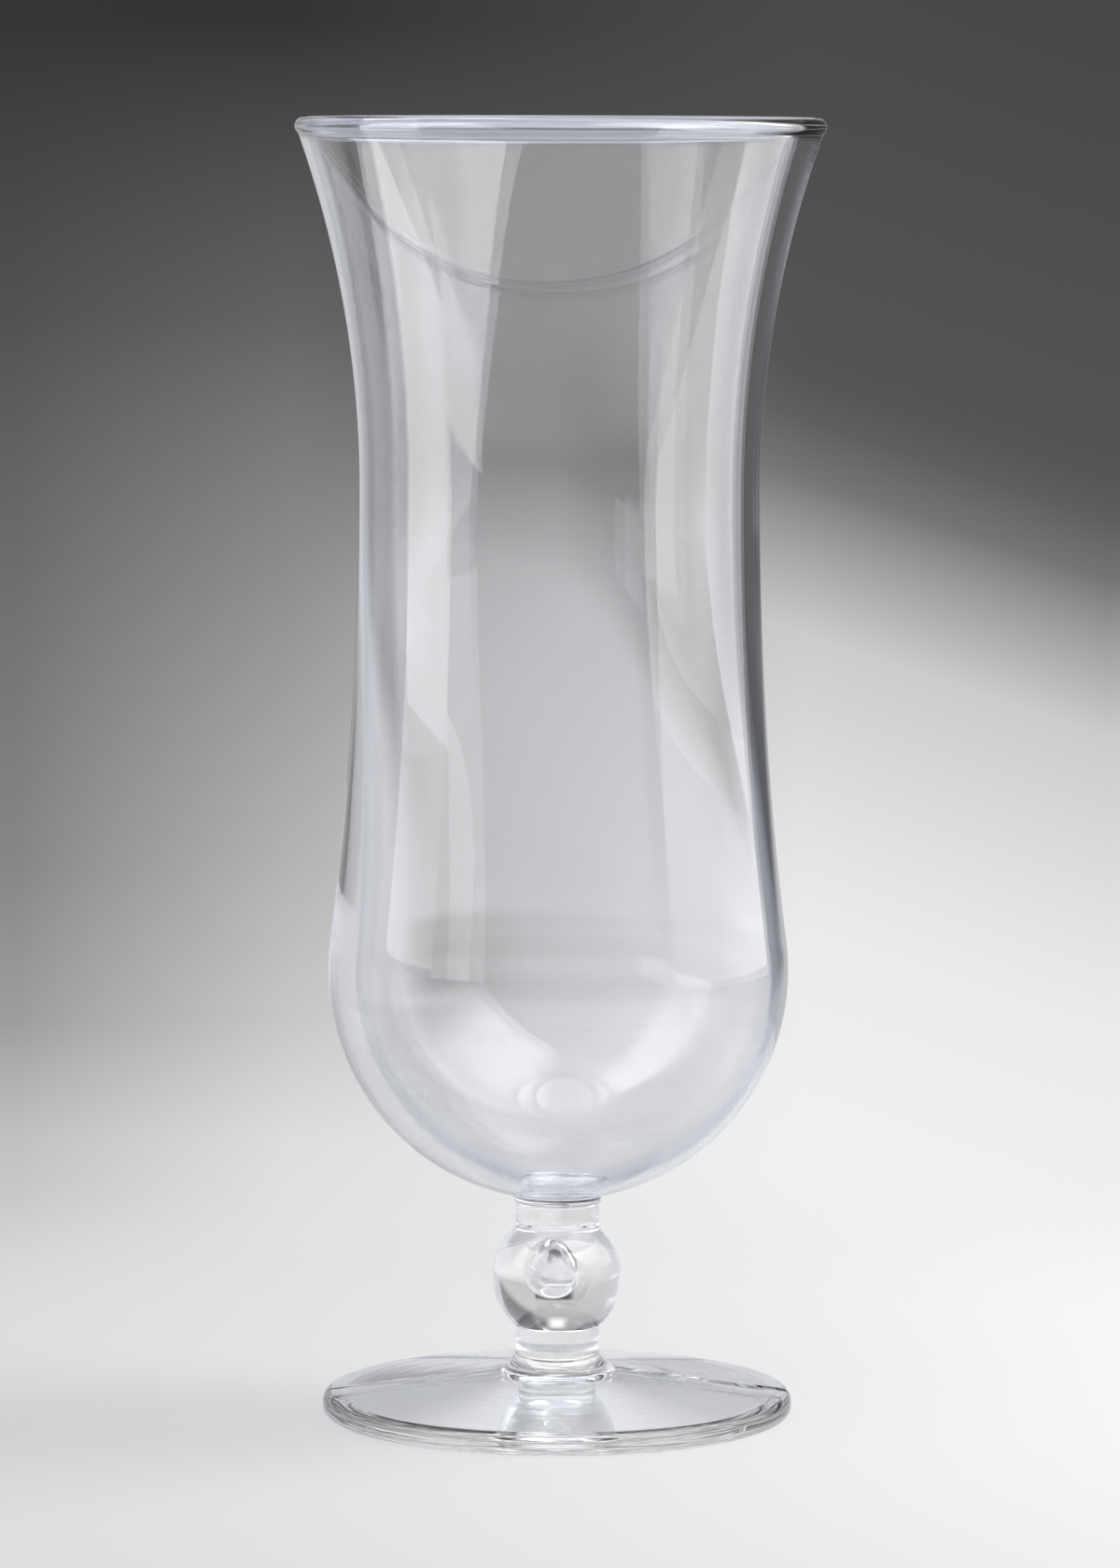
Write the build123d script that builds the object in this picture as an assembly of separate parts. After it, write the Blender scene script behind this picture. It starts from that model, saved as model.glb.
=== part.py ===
from build123d import *
import math
import os

# Hurricane glass, in millimetres. The origin is on the table, on the axis of the glass, and +Z is up.

# Whole glass
total_height = 202.0
rim_diameter = 82.0

# Outside of the bowl: a round belly, a long waist and a flared mouth
belly_diameter = 71.6
waist_diameter = 62.0
waist_height = 144.7
bead_diameter = 2.8
bead_proud = 0.15
bead_blend = 2.0

# Walls of the bowl
belly_wall = 2.5
waist_wall = 1.7
lip_wall = 2.5
base_wall = 2.2

# Joint between bowl and stem
boss_diameter = 13.5
boss_drop = 0.5
boss_blend = 1.2
bond_thickness = 0.3
bond_setback = 0.3

# Stem with its ball
shank_diameter = 13.0
shank_end_round = 0.25
shank_below_ball = 4.2
shank_above_ball = 1.5
ball_diameter = 20.2
ball_blend_above = 1.2
ball_blend_below = 0.5

# Air bubble trapped in the ball, an egg with its narrow end up
bubble_diameter = 5.4
bubble_tip = 3.6
bubble_tip_round = 1.8
bubble_offset = -0.45
bubble_rise = 0.4

# Foot
foot_diameter = 73.4
foot_edge = 3.4
foot_hub_rise = 3.9
hub_blend = 3.8
edge_round_above = 1.6
edge_round_below = 1.4

# Hollow under the foot: a cone that keeps the foot about even in thickness, with a flat crown
rest_ring_width = 2.0
hollow_depth = 3.3
hollow_crown_radius = 8.0
hollow_blend = 12.0

# Values that follow from the sizes above
rim_radius = rim_diameter / 2
belly_radius = belly_diameter / 2
waist_radius = waist_diameter / 2
bead_radius = bead_diameter / 2
boss_radius = boss_diameter / 2
shank_radius = shank_diameter / 2
ball_radius = ball_diameter / 2
bubble_radius = bubble_diameter / 2
foot_radius = foot_diameter / 2
hub_height = foot_edge + foot_hub_rise
ball_height = hub_height + shank_below_ball + ball_radius
joint_height = ball_height + ball_radius + shank_above_ball
boss_height = joint_height + bond_thickness
base_height = boss_height + boss_drop
belly_height = base_height + belly_radius
bead_height = total_height - bead_radius
lip_radius = rim_radius - bead_proud


def side_curve(belly_radius, belly_height, waist_radius, lip_radius):
    """Side of a waisted vessel from its lowest point to its lip, as three arcs that meet in tangents."""
    rise = waist_height - belly_height
    waist_arc = (rise**2 + waist_radius**2 - belly_radius**2) / (2 * (belly_radius - waist_radius))
    shoulder_angle = math.atan2(rise, waist_radius + waist_arc)
    pole = (0, belly_height - belly_radius)
    shoulder = (
        belly_radius * math.cos(shoulder_angle),
        belly_height + belly_radius * math.sin(shoulder_angle),
    )
    waist = (waist_radius, waist_height)
    lip = (lip_radius, bead_height)
    belly_curve = TangentArc(pole, shoulder, tangent=(1, 0))
    waist_curve = TangentArc(waist, shoulder, tangent=(0, -1))
    flare_curve = TangentArc(waist, lip, tangent=(0, 1))
    return belly_curve + waist_curve + flare_curve


def half_section(side, lip_radius, pole_height):
    """Half section between a side curve and the axis, closed by a level line at the lip."""
    lip_line = Line((lip_radius, bead_height), (0, bead_height))
    axis_line = Line((0, bead_height), (0, pole_height))
    return make_face(side + lip_line + axis_line)


def spin(section):
    """Solid of revolution of a half section about the axis of the glass."""
    return revolve(Plane.XZ * section, Axis.Z)


def corner_near(section, radius, height):
    """Corner of a half section that lies nearest to a radius and a height."""
    return min(section.vertices(), key=lambda v: math.hypot(v.X - radius, v.Y - height))


def make_bowl():
    inner_belly_radius = belly_radius - belly_wall
    inner_waist_radius = waist_radius - waist_wall
    inner_lip_radius = lip_radius - lip_wall
    inner_base_height = base_height + base_wall
    inner_belly_height = inner_base_height + inner_belly_radius
    outside = side_curve(belly_radius, belly_height, waist_radius, lip_radius)
    inside = side_curve(inner_belly_radius, inner_belly_height, inner_waist_radius, inner_lip_radius)
    wall = half_section(outside, lip_radius, base_height)
    wall -= half_section(inside, inner_lip_radius, inner_base_height)

    # The boss under the base blends into the belly
    boss_meets_belly = belly_height - math.sqrt(belly_radius**2 - boss_radius**2)
    boss_top = boss_meets_belly + base_wall / 2
    boss_middle = (boss_height + boss_top) / 2
    wall += Pos(boss_radius / 2, boss_middle) * Rectangle(boss_radius, boss_top - boss_height)
    wall = fillet(corner_near(wall, boss_radius, boss_meets_belly), boss_blend)

    # The bead at the lip blends into both faces of the wall
    bead_centre = rim_radius - bead_radius
    wall += Pos(bead_centre, bead_height) * Circle(bead_radius)
    reach = bead_radius + 0.01
    joins = [
        v
        for v in wall.vertices()
        if v.Y < bead_height and math.hypot(v.X - bead_centre, v.Y - bead_height) < reach
    ]
    wall = fillet(joins, bead_blend)
    return spin(wall)


def make_bond_film():
    film_radius = shank_radius - shank_end_round - bond_setback
    centre = joint_height + bond_thickness / 2
    return Pos(0, 0, centre) * Cylinder(film_radius, bond_thickness)


def make_air_bubble():
    """Egg of three tangent arcs on its own axis, with its widest circle at the origin."""
    tip_centre = bubble_tip - bubble_tip_round
    taper = bubble_radius - bubble_tip_round
    side_arc = (bubble_radius**2 + tip_centre**2 - bubble_tip_round**2) / (2 * taper)
    touch_angle = math.atan2(tip_centre, side_arc - bubble_radius)
    touch = (
        bubble_tip_round * math.cos(touch_angle),
        tip_centre + bubble_tip_round * math.sin(touch_angle),
    )
    bottom = TangentArc((0, -bubble_radius), (bubble_radius, 0), tangent=(1, 0))
    side = TangentArc((bubble_radius, 0), touch, tangent=(0, 1))
    tip = TangentArc((0, bubble_tip), touch, tangent=(1, 0))
    axis_line = Line((0, bubble_tip), (0, -bubble_radius))
    return spin(make_face(bottom + side + tip + axis_line))


def make_stem_foot():
    rest_ring_inside = foot_radius - edge_round_below - rest_ring_width
    outline = Polyline(
        (0, hollow_depth),
        (hollow_crown_radius, hollow_depth),
        (rest_ring_inside, 0),
        (foot_radius, 0),
        (foot_radius, foot_edge),
        (shank_radius, hub_height),
        (shank_radius, joint_height),
        (0, joint_height),
        close=True,
    )
    section = make_face(outline)
    section = fillet(corner_near(section, hollow_crown_radius, hollow_depth), hollow_blend)
    section = fillet(corner_near(section, foot_radius, 0), edge_round_below)
    section = fillet(corner_near(section, foot_radius, foot_edge), edge_round_above)
    section = fillet(corner_near(section, shank_radius, hub_height), hub_blend)
    section = fillet(corner_near(section, shank_radius, joint_height), shank_end_round)

    # The ball sits round the shank, with a soft blend above it and a tight one below
    half_ball = Circle(ball_radius) & Pos(ball_radius / 2, 0) * Rectangle(ball_radius, ball_diameter)
    section += Pos(0, ball_height) * half_ball
    ball_reach = math.sqrt(ball_radius**2 - shank_radius**2)
    section = fillet(corner_near(section, shank_radius, ball_height + ball_reach), ball_blend_above)
    section = fillet(corner_near(section, shank_radius, ball_height - ball_reach), ball_blend_below)

    bubble_place = Pos(bubble_offset, 0, ball_height + bubble_rise)
    return spin(section) - bubble_place * make_air_bubble()


os.makedirs("parts", exist_ok=True)
export_step(make_bowl(), "parts/bowl.step")
export_step(make_bond_film(), "parts/bond_film.step")
export_step(make_stem_foot(), "parts/stem_foot.step")
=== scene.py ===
import bpy
import math
from mathutils import Matrix, Vector


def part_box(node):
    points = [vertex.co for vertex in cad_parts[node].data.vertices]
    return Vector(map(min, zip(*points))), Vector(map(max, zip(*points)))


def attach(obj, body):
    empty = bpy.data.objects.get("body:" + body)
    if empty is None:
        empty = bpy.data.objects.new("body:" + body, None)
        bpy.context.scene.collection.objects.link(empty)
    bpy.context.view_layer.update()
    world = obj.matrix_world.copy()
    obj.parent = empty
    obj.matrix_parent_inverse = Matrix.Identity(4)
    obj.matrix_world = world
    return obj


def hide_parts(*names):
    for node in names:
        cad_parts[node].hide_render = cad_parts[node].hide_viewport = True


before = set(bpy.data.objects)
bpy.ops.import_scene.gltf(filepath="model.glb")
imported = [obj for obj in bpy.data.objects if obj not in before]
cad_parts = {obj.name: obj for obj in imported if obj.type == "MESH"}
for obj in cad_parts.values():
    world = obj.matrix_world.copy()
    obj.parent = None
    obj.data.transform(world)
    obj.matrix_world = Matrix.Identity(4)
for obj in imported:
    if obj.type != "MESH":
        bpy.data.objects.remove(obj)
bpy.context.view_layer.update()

# A clear moulded hurricane glass, in metres. The foot rests on the floor at z = 0 and the axis is Z.
MM = 0.001

# Sizes of the bowl
waist_radius = 31.0 * MM
waist_height = 144.7 * MM
belly_radius = 35.8 * MM
bead_radius = 1.4 * MM
bead_proud = 0.15 * MM
bead_blend = 2.0 * MM
belly_wall = 2.5 * MM
waist_wall = 1.7 * MM
lip_wall = 2.5 * MM
base_wall = 2.2 * MM
boss_radius = 6.75 * MM
boss_drop = 0.5 * MM
boss_blend = 1.2 * MM

# Sizes of the stem and the foot
shank_radius = 6.5 * MM
shank_end_round = 0.25 * MM
shank_above_ball = 1.5 * MM
ball_radius = 10.1 * MM
ball_blend_above = 1.2 * MM
ball_blend_below = 0.5 * MM
hub_height = 7.3 * MM
hub_blend = 3.8 * MM
foot_edge = 3.4 * MM
edge_round_above = 1.6 * MM
edge_round_below = 1.4 * MM
rest_ring_width = 2.0 * MM
hollow_depth = 3.3 * MM
hollow_crown_radius = 8.0 * MM
hollow_blend = 12.0 * MM

# Air bubble in the ball, an egg with its narrow end up. Its front leans to the right
bubble_radius = 2.7 * MM
bubble_tip = 3.6 * MM
bubble_tip_round = 1.8 * MM
bubble_offset = -0.45 * MM
bubble_rise = 0.4 * MM
bubble_skew = 0.35

# The core of the mould stood off centre, so the wall is thick at the waist's right and the belly's left
core_lean_waist = -0.85 * MM
core_lean_belly = 1.25 * MM
core_turn_high = 140.0 * MM
core_turn_low = 66.0 * MM

# Seams of the mould on top of the foot, and the stub of the gate
seam_height = 0.07 * MM
seam_width = 0.5 * MM
seam_step = 0.22 * MM
seam_step_fade = math.radians(70)
gate_start = 23.0 * MM
gate_end = 31.5 * MM
gate_height = 0.25 * MM
gate_angle = math.radians(2.5)

# Weak line where two streams of melt met, a level cut of the bowl that leans down to the front
flow_lean = 1.24
flow_height = 219.7 * MM
flow_width = 0.17 * MM
flow_relief = 0.003 * MM
flow_wander = 1.2 * MM
flow_wander_scale = 90.0

# Unevenness of the surfaces
bowl_wave_scale = 60.0
bowl_wave_height = 0.02 * MM
drawing_line_scale = 700.0
drawing_line_height = 0.0012 * MM
foot_wave_scale = 90.0
foot_wave_height = 0.012 * MM
foot_ring_step = 2.1 * MM
foot_ring_relief = 0.0006 * MM

# Grains of dust
dust_scale = 420.0
dust_core = 0.03
dust_edge = 0.075
dust_share = 0.07
dust_roughness = 0.3

# Look of the plastic: its colours straight on, at grazing angles and in the bead, and what it lets pass
plastic_ior = 1.57
face_colour = (0.90, 0.905, 0.92, 1)
grazing_colour = (0.44, 0.52, 0.84, 1)
grazing_power = 4.0
bead_colour = (0.62, 0.65, 0.74, 1)
bowl_shade = (0.935, 0.938, 0.942, 1)
foot_shade = (0.975, 0.978, 0.98, 1)
joint_shade = (0.985, 0.985, 0.995, 1)

# Fineness of the meshes. The seams of the foot have cuts beside them, in degrees
SEGMENTS = 208
bowl_spacing = 1.0 * MM
flare_spacing = 0.8 * MM
film_spacing = 0.7 * MM
foot_spacing = 0.6 * MM
bubble_spacing = 0.15 * MM
widest_arc_step = math.radians(6)
sharp_angle = math.radians(35)
seam_cuts = (-2.4, -1.0, -0.5, 0.5, 1.0)
on_axis = 1e-9

# Places read from the frame
rim_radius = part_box("bowl")[1].x
bead_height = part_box("bowl")[1].z - bead_radius
boss_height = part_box("bowl")[0].z
bond_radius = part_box("bond_film")[1].x
joint_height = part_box("stem_foot")[1].z
foot_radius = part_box("stem_foot")[1].x
base_height = boss_height + boss_drop
belly_height = base_height + belly_radius
ball_height = joint_height - shank_above_ball - ball_radius
lip_radius = rim_radius - bead_proud

# Materials of a lathe's bands
WALL = 0
JOINT = 1


# Outlines in the plane of radius and height


def polar(centre, radius, angle):
    """Point at an angle, in radians, on a circle."""
    return (centre[0] + radius * math.cos(angle), centre[1] + radius * math.sin(angle))


def angle_of(centre, point):
    """Direction of a point as seen from a centre."""
    return math.atan2(point[1] - centre[1], point[0] - centre[0])


def circles_meet(c1, r1, c2, r2):
    """Crossing of two circles on the left of the line from the first centre to the second."""
    gap = math.dist(c1, c2)
    along = (gap * gap + r1 * r1 - r2 * r2) / (2 * gap)
    across = math.sqrt(r1 * r1 - along * along)
    ux, uy = (c2[0] - c1[0]) / gap, (c2[1] - c1[1]) / gap
    return (c1[0] + along * ux - across * uy, c1[1] + along * uy + across * ux)


class Outline:
    """Half section of a lathe piece: points from axis to axis, with the material of the band after each."""

    def __init__(self, start, spacing):
        self.points = [start]
        self.bands = []
        self.spacing = spacing

    def turned_over(self):
        """The same outline run the other way, so that its surface faces inwards round an air space."""
        self.points.reverse()
        self.bands.reverse()
        return self

    def line(self, end, material=WALL):
        """Goes straight on to an end point."""
        start = self.points[-1]
        steps = max(1, round(math.dist(start, end) / self.spacing))
        for i in range(1, steps + 1):
            t = i / steps
            self.points.append((start[0] + t * (end[0] - start[0]), start[1] + t * (end[1] - start[1])))
            self.bands.append(material)

    def arc(self, centre, end, turn):
        """Goes on round a centre to an end point, anticlockwise for a turn of 1 and clockwise for -1."""
        start = self.points[-1]
        radius = math.dist(centre, start)
        first = angle_of(centre, start)
        sweep = (turn * (angle_of(centre, end) - first)) % (2 * math.pi)
        steps = max(2, math.ceil(max(radius * sweep / self.spacing, sweep / widest_arc_step)))
        for i in range(1, steps + 1):
            self.points.append(polar(centre, radius, first + turn * sweep * i / steps))
            self.bands.append(WALL)


class Side:
    """Side of the bowl, outside or inside: round belly, waist arc and flare arc, which meet in tangents."""

    def __init__(self, belly_r, belly_z, waist_r, lip_r):
        rise = waist_height - belly_z
        waist_arc = (rise**2 + waist_r**2 - belly_r**2) / (2 * (belly_r - waist_r))
        flare_rise = bead_height - waist_height
        flare_out = lip_r - waist_r
        self.flare_arc = (flare_out**2 + flare_rise**2) / (2 * flare_out)
        self.belly = (0.0, belly_z)
        self.waist = (waist_r, waist_height)
        self.waist_centre = (waist_r + waist_arc, waist_height)
        self.flare_centre = (waist_r + self.flare_arc, waist_height)
        self.shoulder = polar(self.belly, belly_r, angle_of(self.belly, self.waist_centre))


def bowl_outline():
    """Closed section of the bowl, from its boss up the outside, over the bead and down the inside."""
    outer = Side(belly_radius, belly_height, waist_radius, lip_radius)
    inner_belly = belly_radius - belly_wall
    inner_base = base_height + base_wall
    inner = Side(inner_belly, inner_base + inner_belly, waist_radius - waist_wall, lip_radius - lip_wall)

    # Blend between boss and belly
    blend_r = boss_radius + boss_blend
    blend_reach = math.sqrt((belly_radius + boss_blend) ** 2 - blend_r**2)
    boss_centre = (blend_r, belly_height - blend_reach)
    belly_touch = polar(outer.belly, belly_radius, angle_of(outer.belly, boss_centre))

    # Bead and its blends into the outside and the inside
    bead = (rim_radius - bead_radius, bead_height)
    bead_reach = bead_radius + bead_blend
    out_centre = circles_meet(outer.flare_centre, outer.flare_arc - bead_blend, bead, bead_reach)
    in_centre = circles_meet(inner.flare_centre, inner.flare_arc + bead_blend, bead, bead_reach)
    out_touch = polar(outer.flare_centre, outer.flare_arc, angle_of(outer.flare_centre, out_centre))
    in_touch = polar(inner.flare_centre, inner.flare_arc, angle_of(inner.flare_centre, in_centre))
    bead_out = polar(bead, bead_radius, angle_of(bead, out_centre))
    bead_in = polar(bead, bead_radius, angle_of(bead, in_centre))

    o = Outline((0.0, boss_height), bowl_spacing)
    o.line((bond_radius, boss_height), JOINT)
    o.line((boss_radius, boss_height))
    o.line((boss_radius, boss_centre[1]))
    o.arc(boss_centre, belly_touch, -1)
    o.arc(outer.belly, outer.shoulder, 1)
    o.arc(outer.waist_centre, outer.waist, -1)
    o.spacing = flare_spacing
    o.arc(outer.flare_centre, out_touch, -1)
    o.arc(out_centre, bead_out, -1)
    o.arc(bead, bead_in, 1)
    o.arc(in_centre, in_touch, -1)
    o.arc(inner.flare_centre, inner.waist, 1)
    o.spacing = bowl_spacing
    o.arc(inner.waist_centre, inner.shoulder, 1)
    o.arc(inner.belly, (0.0, inner_base), -1)
    return o


def film_outline():
    """Section of the thin bond between boss and stem."""
    o = Outline((0.0, joint_height), film_spacing)
    o.line((bond_radius, joint_height), JOINT)
    o.line((bond_radius, boss_height))
    o.line((0.0, boss_height), JOINT)
    return o


def stem_foot_outline():
    """Closed section of stem and foot, from the hollow round the edge of the foot and up to the joint."""
    slope = math.atan2(hub_height - foot_edge, foot_radius - shank_radius)
    lean, level = math.sin(slope), math.cos(slope)

    def cone(radius):
        return hub_height - (radius - shank_radius) * math.tan(slope)

    ring_inside = foot_radius - edge_round_below - rest_ring_width
    hollow_slope = math.atan2(hollow_depth, ring_inside - hollow_crown_radius)
    crown_edge = hollow_crown_radius - hollow_blend * math.tan(hollow_slope / 2)
    hollow_centre = (crown_edge, hollow_depth - hollow_blend)
    hollow_touch = polar(hollow_centre, hollow_blend, math.pi / 2 - hollow_slope)
    low = (foot_radius - edge_round_below, edge_round_below)
    high_r = foot_radius - edge_round_above
    high = (high_r, cone(high_r) - edge_round_above / level)
    hub_r = shank_radius + hub_blend
    hub = (hub_r, cone(hub_r) + hub_blend / level)
    ball = (0.0, ball_height)

    def ball_blend(size, way):
        reach = math.sqrt((ball_radius + size) ** 2 - (shank_radius + size) ** 2)
        return (shank_radius + size, ball_height + way * reach)

    under = ball_blend(ball_blend_below, -1)
    over = ball_blend(ball_blend_above, 1)
    end = (shank_radius - shank_end_round, joint_height - shank_end_round)

    o = Outline((0.0, hollow_depth), foot_spacing)
    o.line((crown_edge, hollow_depth))
    o.arc(hollow_centre, hollow_touch, -1)
    o.line((ring_inside, 0.0))
    o.line((low[0], 0.0))
    o.arc(low, (foot_radius, low[1]), 1)
    o.line((foot_radius, high[1]))
    o.arc(high, (high[0] + edge_round_above * lean, high[1] + edge_round_above * level), 1)
    o.line((hub[0] - hub_blend * lean, hub[1] - hub_blend * level))
    o.arc(hub, (shank_radius, hub[1]), -1)
    o.line((shank_radius, under[1]))
    o.arc(under, polar(ball, ball_radius, angle_of(ball, under)), -1)
    o.arc(ball, polar(ball, ball_radius, angle_of(ball, over)), 1)
    o.arc(over, (shank_radius, over[1]), -1)
    o.line((shank_radius, end[1]))
    o.arc(end, (end[0], joint_height), 1)
    o.line((bond_radius, joint_height))
    o.line((0.0, joint_height), JOINT)
    return o


def bubble_outline():
    """Section of the air bubble, an egg of three tangent arcs."""
    widest = ball_height + bubble_rise
    tip = (0.0, widest + bubble_tip - bubble_tip_round)
    rise = tip[1] - widest
    taper = bubble_radius - bubble_tip_round
    side_arc = (bubble_radius**2 + rise**2 - bubble_tip_round**2) / (2 * taper)
    side = (bubble_radius - side_arc, widest)
    o = Outline((0.0, widest - bubble_radius), bubble_spacing)
    o.arc((0.0, widest), (bubble_radius, widest), 1)
    o.arc(side, polar(tip, bubble_tip_round, angle_of(side, tip)), 1)
    o.arc(tip, (0.0, widest + bubble_tip), 1)
    return o.turned_over()


# Shells: outlines with the function that places their points round the axis


def smooth_step(low, high, value):
    """0 below low, 1 above high and a smooth rise between them."""
    t = min(1.0, max(0.0, (value - low) / (high - low)))
    return t * t * (3 - 2 * t)


def turned(radius, turn, height):
    """Point at an angle about the axis. Angles run from the right past the back and the left."""
    return (radius * math.cos(turn), radius * math.sin(turn), height)


def centred_shell(outline):
    """An outline turned about the axis of the glass."""

    def place(index, turn):
        radius, height = outline.points[index]
        return turned(radius, turn, height)

    return outline, place


def core_shift(height):
    """How far the inside of the bowl stands to the right of the axis at a height."""
    lean = smooth_step(core_turn_low, core_turn_high, height)
    shift = core_lean_belly + (core_lean_waist - core_lean_belly) * lean
    return shift * smooth_step(0.0, bead_radius, bead_height + bead_radius - height)


def bowl_shell():
    """The bowl, with its inside leaning as the core did."""
    outline = bowl_outline()
    top = max(range(len(outline.points)), key=lambda i: outline.points[i][1])

    def place(index, turn):
        radius, height = outline.points[index]
        x, y, z = turned(radius, turn, height)
        return (x + core_shift(height), y, z) if index > top else (x, y, z)

    return outline, place


def foot_marks(radius, turn):
    """Rise of the foot's top along its seam: a fine ridge, a step on the right and the stub of the gate."""
    from_right = (turn + math.pi) % (2 * math.pi) - math.pi
    from_left = turn - math.pi
    nearest = min(abs(from_right), abs(from_left))
    rise = seam_height * max(0.0, 1 - nearest * radius / seam_width)
    if 0.0 <= from_right < seam_step_fade:
        rise += seam_step * (1 - smooth_step(0.0, seam_step_fade, from_right))
    if gate_start < radius < gate_end and -gate_angle < from_right < 0.0:
        rise += gate_height
    return rise


def stem_foot_shell():
    """Stem and foot, with the seam on top of the foot."""
    outline = stem_foot_outline()
    top_low = foot_edge - edge_round_above
    top_high = hub_height + hub_blend

    def place(index, turn):
        radius, height = outline.points[index]
        x, y, z = turned(radius, turn, height)
        on_top = top_low < height < top_high and radius > shank_radius
        if not on_top:
            return (x, y, z)
        edge = smooth_step(foot_radius, foot_radius - edge_round_above, radius)
        hub = smooth_step(shank_radius, shank_radius + hub_blend, radius)
        return (x, y, z + foot_marks(radius, turn) * edge * hub)

    return outline, place


def bubble_shell():
    """Air bubble, moved off the axis and skewed."""
    outline = bubble_outline()

    def place(index, turn):
        radius, height = outline.points[index]
        x, y, z = turned(radius, turn, height)
        return (x + bubble_offset - bubble_skew * y, y, z)

    return outline, place


def lathe(name, shells, turns, materials):
    """Closed mesh of shells, with their points at the given turns about the axis."""
    verts = []
    faces = []
    slots = []
    for outline, place in shells:
        rings = []
        for index, (radius, height) in enumerate(outline.points):
            if radius < on_axis:
                rings.append([len(verts)] * len(turns))
                verts.append(place(index, 0.0))
                continue
            rings.append(list(range(len(verts), len(verts) + len(turns))))
            verts.extend(place(index, turn) for turn in turns)
        for low, high, slot in zip(rings, rings[1:], outline.bands):
            for i in range(len(turns)):
                j = (i + 1) % len(turns)
                corners = [low[i], low[j], high[j], high[i]]
                faces.append(tuple(dict.fromkeys(corners)))
                slots.append(slot)
    mesh = bpy.data.meshes.new(name)
    mesh.from_pydata(verts, [], faces)
    mesh.polygons.foreach_set("material_index", slots)
    mesh.shade_smooth()
    mesh.set_sharp_from_angle(angle=sharp_angle)
    for material in materials:
        mesh.materials.append(material)
    piece = bpy.data.objects.new(name, mesh)
    bpy.context.scene.collection.objects.link(piece)
    return piece


# Nodes


def new_tree(block):
    """Empty node tree of a material or world."""
    block.use_nodes = True
    block.node_tree.nodes.clear()
    return block.node_tree


def new_material(name):
    """New material and its empty node tree."""
    material = bpy.data.materials.new(name)
    return material, new_tree(material)


def grey(level):
    """Colour of a grey level."""
    return (level, level, level, 1)


def feed(tree, term, socket):
    """Links an output of a node to a socket, or sets the socket where the term is a plain value."""
    if isinstance(term, bpy.types.NodeSocket):
        tree.links.new(term, socket)
    else:
        socket.default_value = term


def worked(tree, operation, *terms):
    """Result of a math node. Its terms are numbers and outputs of other nodes."""
    node = tree.nodes.new("ShaderNodeMath")
    node.operation = operation
    for term, socket in zip(terms, node.inputs):
        feed(tree, term, socket)
    return node.outputs["Value"]


def vector_node(tree, operation, *terms):
    """Vector math node. Its terms are fixed vectors and outputs of other nodes."""
    node = tree.nodes.new("ShaderNodeVectorMath")
    node.operation = operation
    for term, socket in zip(terms, node.inputs):
        feed(tree, term, socket)
    return node


def along(tree, vector, direction):
    """How far a vector reaches along a direction."""
    return vector_node(tree, "DOT_PRODUCT", vector, direction).outputs["Value"]


def length(tree, vector):
    """Length of a vector."""
    return vector_node(tree, "LENGTH", vector).outputs["Value"]


def axes_of(tree, vector):
    """Outputs for X, Y and Z of a vector."""
    node = tree.nodes.new("ShaderNodeSeparateXYZ")
    tree.links.new(vector, node.inputs["Vector"])
    return node.outputs


def position_of(tree):
    """Place of the point that is shaded."""
    return tree.nodes.new("ShaderNodeNewGeometry").outputs["Position"]


def ranged(tree, value, low, high, ends=(0.0, 1.0), way="SMOOTHSTEP"):
    """Change from the first end, where a value is low, to the second, where it is high."""
    node = tree.nodes.new("ShaderNodeMapRange")
    node.interpolation_type = way
    node.inputs["From Min"].default_value = low
    node.inputs["From Max"].default_value = high
    node.inputs["To Min"].default_value = ends[0]
    node.inputs["To Max"].default_value = ends[1]
    tree.links.new(value, node.inputs["Value"])
    return node.outputs["Result"]


def mixed(tree, factor, first, second, kind="RGBA"):
    """Mix of two colours, or of two numbers where the kind is FLOAT: the second where the factor is 1."""
    node = tree.nodes.new("ShaderNodeMix")
    node.data_type = kind
    feed(tree, factor, node.inputs["Factor"])
    feed(tree, first, node.inputs["A"])
    feed(tree, second, node.inputs["B"])
    return node.outputs["Result"]


def level_ramp(tree, value, stops):
    """Grey level that follows a value, by stops that pair values with levels from the lowest up."""
    low = stops[0][0]
    high = stops[-1][0]
    ramp = tree.nodes.new("ShaderNodeValToRGB")
    elements = ramp.color_ramp.elements
    for place, level in stops[1:-1]:
        elements.new((place - low) / (high - low))
    for element, (place, level) in zip(elements, stops):
        element.color = grey(level)
    tree.links.new(ranged(tree, value, low, high, way="LINEAR"), ramp.inputs["Fac"])
    return ramp.outputs["Color"]


def shader_mix(tree, factor, first, second):
    """Mix of two shaders, the second where the factor is 1."""
    node = tree.nodes.new("ShaderNodeMixShader")
    tree.links.new(factor, node.inputs["Fac"])
    tree.links.new(first, node.inputs[1])
    tree.links.new(second, node.inputs[2])
    return node.outputs["Shader"]


def see_through(tree, colour=(1, 1, 1, 1)):
    """Shader that lets light go straight on."""
    node = tree.nodes.new("ShaderNodeBsdfTransparent")
    node.inputs["Color"].default_value = colour
    return node.outputs["BSDF"]


def glow(tree, socket, term):
    """Shader that gives off light, with its Color or its Strength from another node."""
    node = tree.nodes.new("ShaderNodeEmission")
    tree.links.new(term, node.inputs[socket])
    return node.outputs["Emission"]


def surface(tree, shader, kind="ShaderNodeOutputMaterial"):
    """Ends a node tree with its shader."""
    out = tree.nodes.new(kind)
    tree.links.new(shader, out.inputs["Surface"])


def rays(tree):
    """Outputs that tell what kind of ray is traced."""
    return tree.nodes.new("ShaderNodeLightPath").outputs


# Materials of the glass


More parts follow.
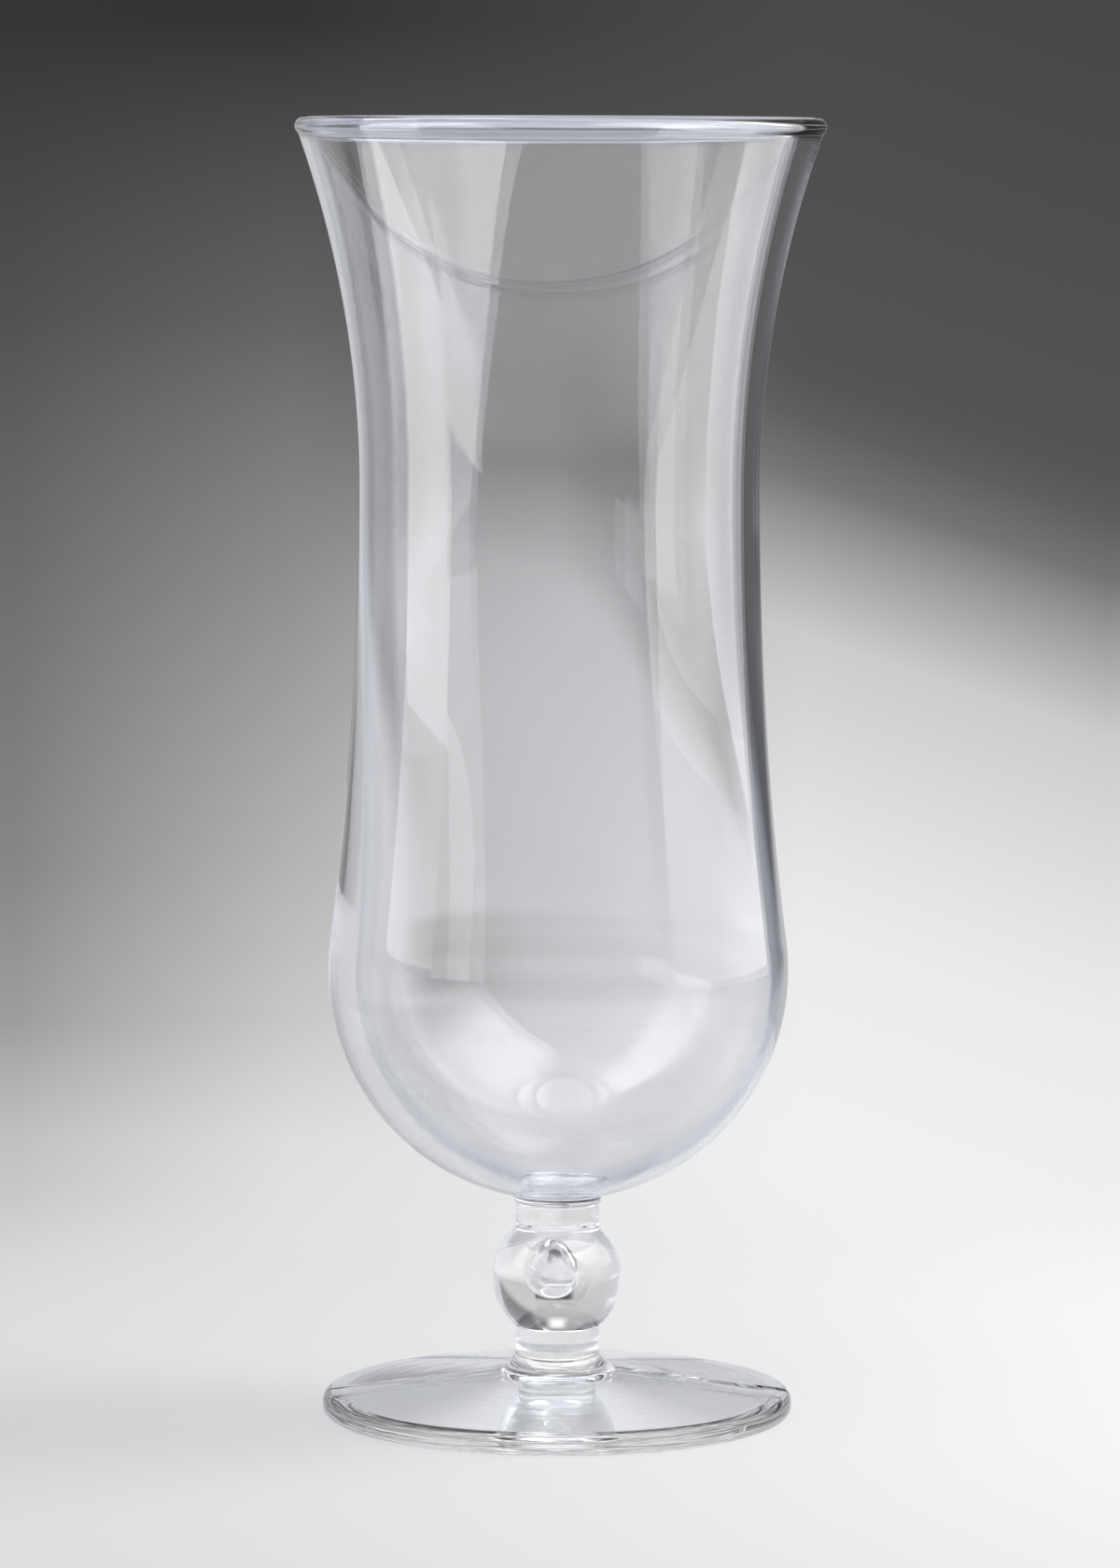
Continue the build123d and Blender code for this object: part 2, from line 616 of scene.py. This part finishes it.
def ripples(tree, position, stretch, scale, height):
    """Smooth unevenness, as a height in metres."""
    noise = tree.nodes.new("ShaderNodeTexNoise")
    noise.inputs["Scale"].default_value = scale
    noise.inputs["Detail"].default_value = 1.0
    spread = vector_node(tree, "MULTIPLY", position, stretch).outputs["Vector"]
    tree.links.new(spread, noise.inputs["Vector"])
    return worked(tree, "MULTIPLY", noise.outputs["Fac"], height)


def specks(tree, position):
    """1 in small scattered grains of dust and 0 between them."""
    cells = tree.nodes.new("ShaderNodeTexVoronoi")
    cells.inputs["Scale"].default_value = dust_scale
    tree.links.new(position, cells.inputs["Vector"])
    grain = ranged(tree, cells.outputs["Distance"], dust_edge, dust_core)
    channels = tree.nodes.new("ShaderNodeSeparateColor")
    tree.links.new(cells.outputs["Color"], channels.inputs["Color"])
    chosen = worked(tree, "GREATER_THAN", channels.outputs["Red"], 1 - dust_share)
    return worked(tree, "MULTIPLY", grain, chosen)


def flow_line(tree, position):
    """Height of the flow line, a fine ridge that wanders."""
    level = along(tree, position, (0.0, -flow_lean, 1.0))
    wander = ripples(tree, position, (1.0, 1.0, 1.0), flow_wander_scale, flow_wander)
    off = worked(tree, "SUBTRACT", worked(tree, "ADD", level, wander), flow_height)
    ridge = ranged(tree, worked(tree, "ABSOLUTE", off), flow_width, 0.0)
    return worked(tree, "MULTIPLY", ridge, flow_relief)


def bowl_relief(tree, position):
    """Relief of the bowl: slight waves, upright drawing lines and the flow line."""
    waves = ripples(tree, position, (1.0, 1.0, 0.5), bowl_wave_scale, bowl_wave_height)
    lines = ripples(tree, position, (1.0, 1.0, 0.03), drawing_line_scale, drawing_line_height)
    return worked(tree, "ADD", worked(tree, "ADD", waves, lines), flow_line(tree, position))


def foot_relief(tree, position):
    """Relief of the foot: slight waves and the rings that the melt left as it spread."""
    flat = vector_node(tree, "MULTIPLY", position, (1.0, 1.0, 0.0)).outputs["Vector"]
    turns = worked(tree, "MULTIPLY", length(tree, flat), 2 * math.pi / foot_ring_step)
    rings = worked(tree, "MULTIPLY", worked(tree, "SINE", turns), foot_ring_relief)
    waves = ripples(tree, position, (1.0, 1.0, 1.0), foot_wave_scale, foot_wave_height)
    return worked(tree, "ADD", waves, rings)


def cool_cast(tree, position):
    """Faint cool colour, deeper at grazing angles and in the bead, where light runs inside the wall."""
    edge = tree.nodes.new("ShaderNodeLayerWeight")
    edge.inputs["Blend"].default_value = 0.5
    grazing = worked(tree, "POWER", edge.outputs["Facing"], grazing_power)
    cast = mixed(tree, grazing, face_colour, grazing_colour)
    height = axes_of(tree, position)["Z"]
    in_bead = ranged(tree, height, bead_height - 2 * bead_radius, bead_height)
    return mixed(tree, in_bead, cast, bead_colour)


def clear_plastic(name, relief, shade):
    """Clear polished plastic. Lamps and bounced light pass straight through it, dimmed by its shade."""
    material, tree = new_material(name)
    link = tree.links.new
    position = position_of(tree)
    glass = tree.nodes.new("ShaderNodeBsdfPrincipled")
    glass.inputs["IOR"].default_value = plastic_ior
    glass.inputs["Transmission Weight"].default_value = 1.0
    link(cool_cast(tree, position), glass.inputs["Base Color"])
    link(worked(tree, "MULTIPLY", specks(tree, position), dust_roughness), glass.inputs["Roughness"])
    bump = tree.nodes.new("ShaderNodeBump")
    bump.inputs["Strength"].default_value = 1.0
    bump.inputs["Distance"].default_value = 1.0
    link(relief(tree, position), bump.inputs["Height"])
    link(bump.outputs["Normal"], glass.inputs["Normal"])

    ray = rays(tree)
    passing = see_through(tree, shade)
    for_lamps = shader_mix(tree, ray["Is Shadow Ray"], glass.outputs["BSDF"], passing)
    surface(tree, shader_mix(tree, ray["Is Diffuse Ray"], for_lamps, passing))
    return material


def joined_face():
    """Face that the bond wets all over, where light goes straight on."""
    material, tree = new_material("joined_face")
    surface(tree, see_through(tree, joint_shade))
    return material


# Pieces of the glass
even_turns = [2 * math.pi * i / SEGMENTS for i in range(SEGMENTS)]
seam_turns = [(seam + math.radians(cut)) % (2 * math.pi) for seam in (0.0, math.pi) for cut in seam_cuts]
foot_turns = sorted(even_turns + seam_turns)

bowl_plastic = clear_plastic("clear_bowl_plastic", bowl_relief, bowl_shade)
foot_plastic = clear_plastic("clear_foot_plastic", foot_relief, foot_shade)
joined = joined_face()
for node, shells, turns, plastic, slot in (
    ("bowl", [bowl_shell()], even_turns, bowl_plastic, "clear_plastic"),
    ("bond_film", [centred_shell(film_outline())], even_turns, foot_plastic, "clear_bond"),
    ("stem_foot", [stem_foot_shell(), bubble_shell()], foot_turns, foot_plastic, "clear_plastic"),
):
    piece = lathe("clear_" + node, shells, turns, (plastic, joined))
    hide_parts(node)
    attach(piece, "root")

# Camera, fitted to the outline of the glass in the photograph
PHOTO_HEIGHT = 1680
FOCAL_PIXELS = 7600
camera_distance = 1096 * MM
camera_height = 211 * MM
camera_right = 0.2 * MM
camera_pitch = math.radians(5.84)
camera_roll = math.radians(0.165)

camera_data = bpy.data.cameras.new("camera")
camera_data.sensor_fit = "VERTICAL"
camera_data.sensor_height = 36
camera_data.lens = camera_data.sensor_height * FOCAL_PIXELS / PHOTO_HEIGHT
camera = bpy.data.objects.new("camera", camera_data)
aim = Matrix.Rotation(math.pi / 2 - camera_pitch, 4, "X") @ Matrix.Rotation(camera_roll, 4, "Z")
camera.matrix_world = Matrix.Translation((camera_right, -camera_distance, camera_height)) @ aim
bpy.context.scene.collection.objects.link(camera)
bpy.context.scene.camera = camera


# Floor that fades into the backdrop
floor_gap = 0.05 * MM
floor_radius = 0.3
floor_fade = (0.11, 0.25)
paper_level = 0.87


def make_floor():
    """Round floor of white paper."""
    place = (0, 0, -floor_gap)
    bpy.ops.mesh.primitive_circle_add(vertices=96, radius=floor_radius, fill_type="NGON", location=place)
    floor = bpy.context.object
    floor.name = "floor"
    material, tree = new_material("floor")
    paper = tree.nodes.new("ShaderNodeBsdfDiffuse")
    paper.inputs["Color"].default_value = grey(paper_level)
    fade = ranged(tree, length(tree, position_of(tree)), *floor_fade)
    surface(tree, shader_mix(tree, fade, paper.outputs["BSDF"], see_through(tree)))
    floor.data.materials.append(material)


make_floor()


# Backdrop with painted light and shade, dark above and pale towards the floor. It fades out at its edges
backdrop_distance = 2.5
backdrop_half_width = 1.0
backdrop_low = -0.6
backdrop_high = 0.6
fade_left = (-0.56, -0.32)
fade_right = (0.95, 0.6)
fade_above = (0.36, 0.25)

# Its grey levels by height at three places from left to right
left_place = -0.277
middle_place = -0.137
right_place = 0.125
left_levels = (
    (-0.53, 0.76),
    (-0.44, 0.69),
    (-0.34, 0.53),
    (-0.28, 0.34),
    (-0.2, 0.24),
    (-0.05, 0.153),
    (0.08, 0.084),
    (0.23, 0.036),
)
middle_levels = (
    (-0.39, 0.77),
    (-0.34, 0.725),
    (-0.28, 0.575),
    (-0.2, 0.455),
    (-0.05, 0.27),
    (0.08, 0.126),
    (0.23, 0.034),
)
right_levels = (
    (-0.37, 0.875),
    (-0.26, 0.83),
    (-0.22, 0.78),
    (-0.11, 0.6),
    (-0.08, 0.435),
    (-0.03, 0.178),
    (0.0, 0.115),
    (0.024, 0.09),
    (0.23, 0.066),
)

# The edge of the painted shadow at the right slants down as far as a bend and rises beyond it
edge_bend = 0.28
edge_start = 0.08
edge_slope = 0.335
edge_rise = 0.0714


def backdrop_light_and_shade(tree, x, z):
    """Grey levels of the backdrop, with its painted light and shade."""
    left = level_ramp(tree, z, left_levels)
    middle = level_ramp(tree, z, middle_levels)
    # Painted shadow at the right: its ramp is moved along the slanted edge
    from_bend = worked(tree, "ABSOLUTE", worked(tree, "SUBTRACT", x, edge_bend))
    along_edge = worked(tree, "MAXIMUM", worked(tree, "SUBTRACT", edge_bend, from_bend), edge_start)
    drop = worked(tree, "MULTIPLY_ADD", along_edge, edge_slope, -edge_rise)
    right = level_ramp(tree, worked(tree, "ADD", z, drop), right_levels)
    to_middle = ranged(tree, x, left_place, middle_place, way="LINEAR")
    to_right = ranged(tree, x, middle_place, right_place, way="LINEAR")
    return mixed(tree, to_right, mixed(tree, to_middle, left, middle), right)


def shown_rays(tree):
    """1 for rays that look at a thing: from the camera, off gloss and through glass."""
    ray = rays(tree)
    seen = worked(tree, "ADD", ray["Is Camera Ray"], ray["Is Glossy Ray"])
    return worked(tree, "MINIMUM", worked(tree, "ADD", seen, ray["Is Transmission Ray"]), 1.0)


def make_backdrop():
    """Upright screen behind the glass. Only its front shows."""
    bpy.ops.mesh.primitive_plane_add(size=1)
    screen = bpy.context.object
    screen.name = "backdrop"
    screen.scale = (2 * backdrop_half_width, backdrop_high - backdrop_low, 1)
    screen.rotation_euler = (math.pi / 2, 0, 0)
    screen.location = (0, backdrop_distance, (backdrop_low + backdrop_high) / 2)
    material, tree = new_material("backdrop")
    geometry = tree.nodes.new("ShaderNodeNewGeometry").outputs
    axes = axes_of(tree, geometry["Position"])
    x = axes["X"]
    z = axes["Z"]
    shown = worked(tree, "SUBTRACT", shown_rays(tree), geometry["Backfacing"])
    shown = worked(tree, "MAXIMUM", shown, 0.0)
    for place, fade in ((x, fade_left), (x, fade_right), (z, fade_above)):
        shown = worked(tree, "MULTIPLY", shown, ranged(tree, place, *fade))
    picture = glow(tree, "Color", backdrop_light_and_shade(tree, x, z))
    surface(tree, shader_mix(tree, shown, see_through(tree), picture))
    screen.data.materials.append(material)


make_backdrop()


# World: a pale room in front of the glass and a wall behind it, with panels laid over them
plain_level = 0.78
even_level = 0.2
room_most = 0.6
room_end = (-0.1, 0.2)
room_levels = (
    (-0.3, 1.25),
    (-0.17, 1.25),
    (-0.12, 0.8),
    (0.0, 0.7),
    (0.06, 1.0),
    (0.12, 1.3),
    (0.28, 1.8),
    (0.6, 1.9),
)
wall_levels = (
    (-0.3, 0.75),
    (-0.1, 0.7),
    (0.0, 0.57),
    (0.1, 0.55),
    (0.3, 0.5),
    (0.42, 0.42),
    (0.7, 0.44),
)

# Each panel has its azimuth and elevation, its left, right, low and high edges, its softness and its level
left_wall = (-118, 5, (-0.25, 0.42, -0.12, 0.3), 0.1, 0.85)
left_low_wall = (-118, 5, (-0.25, 0.42, -0.45, -0.12), 0.08, 0.95)
left_table = (-85, -24, (-0.6, 0.6, -0.25, 0.2), 0.04, 0.6)
back_light = (140, 52, (-0.4, 0.4, -0.25, 0.4), 0.1, 1.5)
left_dark = (-125, 47, (-0.45, 0.45, -0.2, 0.5), 0.1, 0.12)
dark_above = (163, 30, (-0.2, 0.12, -0.1, 0.1), 0.09, 0.16)
wall_light = (180, 28, (-0.1, 0.1, -0.08, 0.13), 0.07, 1.2)
panels = (left_wall, left_low_wall, left_table, back_light, left_dark, dark_above, wall_light)
least_ahead = 0.02


def held_through(tree, level, most):
    """Level of a light, held to a plain level where it is seen through the glass and not in its gloss."""
    held = worked(tree, "MINIMUM", level, most)
    mirrored = worked(tree, "MINIMUM", rays(tree)["Glossy Depth"], 1.0)
    return mixed(tree, mirrored, held, level)


def way_to(azimuth, elevation):
    """Direction to a place in the studio. Azimuth is in degrees, 0 at the camera, growing to the right."""
    turn = math.radians(azimuth)
    lift = math.radians(elevation)
    return Vector((math.sin(turn) * math.cos(lift), -math.cos(turn) * math.cos(lift), math.sin(lift)))


def panel(tree, under, azimuth, elevation, edges, soft, level):
    """Lays a soft-edged panel over the studio. Its edges are tangents of angles from its middle."""
    middle = way_to(azimuth, elevation)
    across = way_to(azimuth + 90, 0)
    upward = middle.cross(across)
    way = tree.nodes.new("ShaderNodeTexCoord").outputs["Generated"]
    ahead = along(tree, way, middle)
    left, right, low, high = edges
    inside = worked(tree, "GREATER_THAN", ahead, least_ahead)
    for axis, first, last in ((across, left, right), (upward, low, high)):
        tangent = worked(tree, "DIVIDE", along(tree, way, axis), ahead)
        inside = worked(tree, "MULTIPLY", inside, ranged(tree, tangent, first - soft, first + soft))
        inside = worked(tree, "MULTIPLY", inside, ranged(tree, tangent, last + soft, last - soft))
    return mixed(tree, inside, under, grey(level))


def studio_picture(tree):
    """What gloss and glass show of the studio."""
    axes = axes_of(tree, tree.nodes.new("ShaderNodeTexCoord").outputs["Generated"])
    room = held_through(tree, level_ramp(tree, axes["Z"], room_levels), room_most)
    wall = level_ramp(tree, axes["Z"], wall_levels)
    picture = mixed(tree, ranged(tree, axes["Y"], *room_end), room, wall)
    for form in panels:
        picture = panel(tree, picture, *form)
    return picture


def background(tree, colour):
    """Light of the world."""
    node = tree.nodes.new("ShaderNodeBackground")
    feed(tree, colour, node.inputs["Color"])
    return node.outputs["Background"]


def make_world():
    """World that is plain to the camera, even for diffuse light, and the studio in gloss and glass."""
    world = bpy.data.worlds.new("studio")
    bpy.context.scene.world = world
    tree = new_tree(world)
    even = background(tree, grey(even_level))
    plain = background(tree, grey(plain_level))
    studio = background(tree, studio_picture(tree))
    for_gloss = shader_mix(tree, shown_rays(tree), even, studio)
    for_camera = shader_mix(tree, rays(tree)["Is Camera Ray"], for_gloss, plain)
    surface(tree, for_camera, "ShaderNodeOutputWorld")


make_world()


# Cards near the glass. Corners of those beside it are pairs of y and z
right_reach = 0.212
skirt_reach = 0.213
left_reach = 0.25
right_front_low = (-0.153, 0.122)
right_back_low = (0.13, 0.098)
right_box = (right_front_low, right_back_low, (0.15, 3.0), (-2.09, 3.0))
right_skirt = ((-0.14, 0.06), (0.13, 0.06), right_back_low, right_front_low)
left_box = ((-0.13, 0.085), (0.005, 0.085), (-0.1, 2.0), (-0.5, 2.0))
left_skirt = ((-0.27, 0.07), (-0.13, 0.07), (-0.13, 0.114), (-0.27, 0.114))
left_gap = ((0.1, 0.0), (0.4, 0.0), (0.4, 0.09), (0.1, 0.09))

# Where the levels of a card change: upwards, from front to back and overhead
box_rise = (0.13, 0.24)
skirt_rise = (0.085, 0.115)
box_depth = (-0.03, 0.05)
overhead = (0.6, 1.6)
card_most = 0.55


def stand(name, corners, material):
    """Upright card, seen in gloss and glass alone."""
    mesh = bpy.data.meshes.new(name)
    mesh.from_pydata(corners, [], [tuple(range(len(corners)))])
    mesh.materials.append(material)
    card = bpy.data.objects.new(name, mesh)
    card.visible_camera = False
    card.visible_diffuse = False
    card.visible_shadow = False
    bpy.context.scene.collection.objects.link(card)
    return card


def softbox(name, corners, low, high, top, rise=box_rise):
    """Light card. Its levels below and above its rise are pairs for front and back. Top is overhead."""
    material, tree = new_material(name)
    axes = axes_of(tree, position_of(tree))
    below = ranged(tree, axes["Y"], *box_depth, ends=low)
    above = ranged(tree, axes["Y"], *box_depth, ends=high)
    level = mixed(tree, ranged(tree, axes["Z"], *rise), below, above, "FLOAT")
    level = mixed(tree, ranged(tree, axes["Z"], *overhead), level, top, "FLOAT")
    surface(tree, glow(tree, "Strength", held_through(tree, level, card_most)))
    return stand(name, corners, material)


def even_card(name, corners, level):
    """Light card of one level all over."""
    return softbox(name, corners, (level, level), (level, level), level)


def beside(x, corners):
    """Corners of an upright card that faces the side of the glass."""
    return [(x, y, z) for y, z in corners]


softbox("right_softbox", beside(right_reach, right_box), (3.5, 1.9), (5.5, 3.6), 2.0)
softbox("right_skirt", beside(skirt_reach, right_skirt), (1.5, 1.9), (2.2, 2.5), 2.5, skirt_rise)
softbox("left_softbox", beside(-left_reach, left_box), (2.8, 2.8), (3.8, 3.8), 1.6)
even_card("left_skirt", beside(-left_reach, left_skirt), 2.2)
even_card("left_gap", beside(-left_reach, left_gap), 0.7)

# The paper curves up close behind the foot, which shows it in its gloss
sweep = ((-0.35, 0.3, 0.0), (0.35, 0.3, 0.0), (0.35, 0.3, 0.07), (-0.35, 0.3, 0.07))
even_card("paper_sweep", sweep, 0.72).visible_transmission = False

# Card behind at the right with painted shade, which shows the backdrop's painted shadow in gloss and glass.
# Its low edge is soft and slants, and it fades out behind the glass
card_right = (0.21, 0.151)
card_left = (0.065, 0.254)
card_low = 0.004
card_high = 0.3
card_edge = (0.132, 0.182)
card_slant = 0.68
card_fade = (0.06, 0.1)
# Levels of the painted shade at the card's left end and at its right, then of the painted light below its
# edge
card_painted_shade = (0.34, 0.12)
card_painted_light = 0.57


def painted_shade_card():
    """Card with painted shade above its slanted edge and painted light below it."""
    material, tree = new_material("painted_shade_card")
    position = position_of(tree)
    dark = ranged(tree, axes_of(tree, position)["X"], *card_fade, ends=card_painted_shade)
    above_edge = ranged(tree, along(tree, position, (card_slant, 0.0, 1.0)), *card_edge)
    surface(tree, glow(tree, "Strength", mixed(tree, above_edge, card_painted_light, dark, "FLOAT")))
    low_corners = [(*card_right, card_low), (*card_left, card_low)]
    high_corners = [(*card_left, card_high), (*card_right, card_high)]
    stand("painted_shade_card", low_corners + high_corners, material)


painted_shade_card()


def floor_lamp(name, azimuth, elevation, distance, size, energy):
    """Soft lamp that lights the floor round the foot and isn't seen in the glass."""
    data = bpy.data.lights.new(name, "AREA")
    data.size = size
    data.energy = energy
    lamp = bpy.data.objects.new(name, data)
    lamp.visible_camera = False
    lamp.visible_glossy = False
    lamp.visible_transmission = False
    way = way_to(azimuth, elevation)
    lamp.location = distance * way
    lamp.rotation_euler = (-way).to_track_quat("-Z", "Y").to_euler()
    bpy.context.scene.collection.objects.link(lamp)


floor_lamp("key_lamp", azimuth=100, elevation=48, distance=0.75, size=0.34, energy=4.6)
floor_lamp("fill_lamp", azimuth=-40, elevation=62, distance=1.2, size=0.9, energy=3.3)

# Render settings
view = bpy.context.scene.view_settings
view.view_transform = "Standard"
cycles = bpy.context.scene.cycles
cycles.max_bounces = 24
cycles.transmission_bounces = 24
cycles.glossy_bounces = 12
cycles.transparent_max_bounces = 24
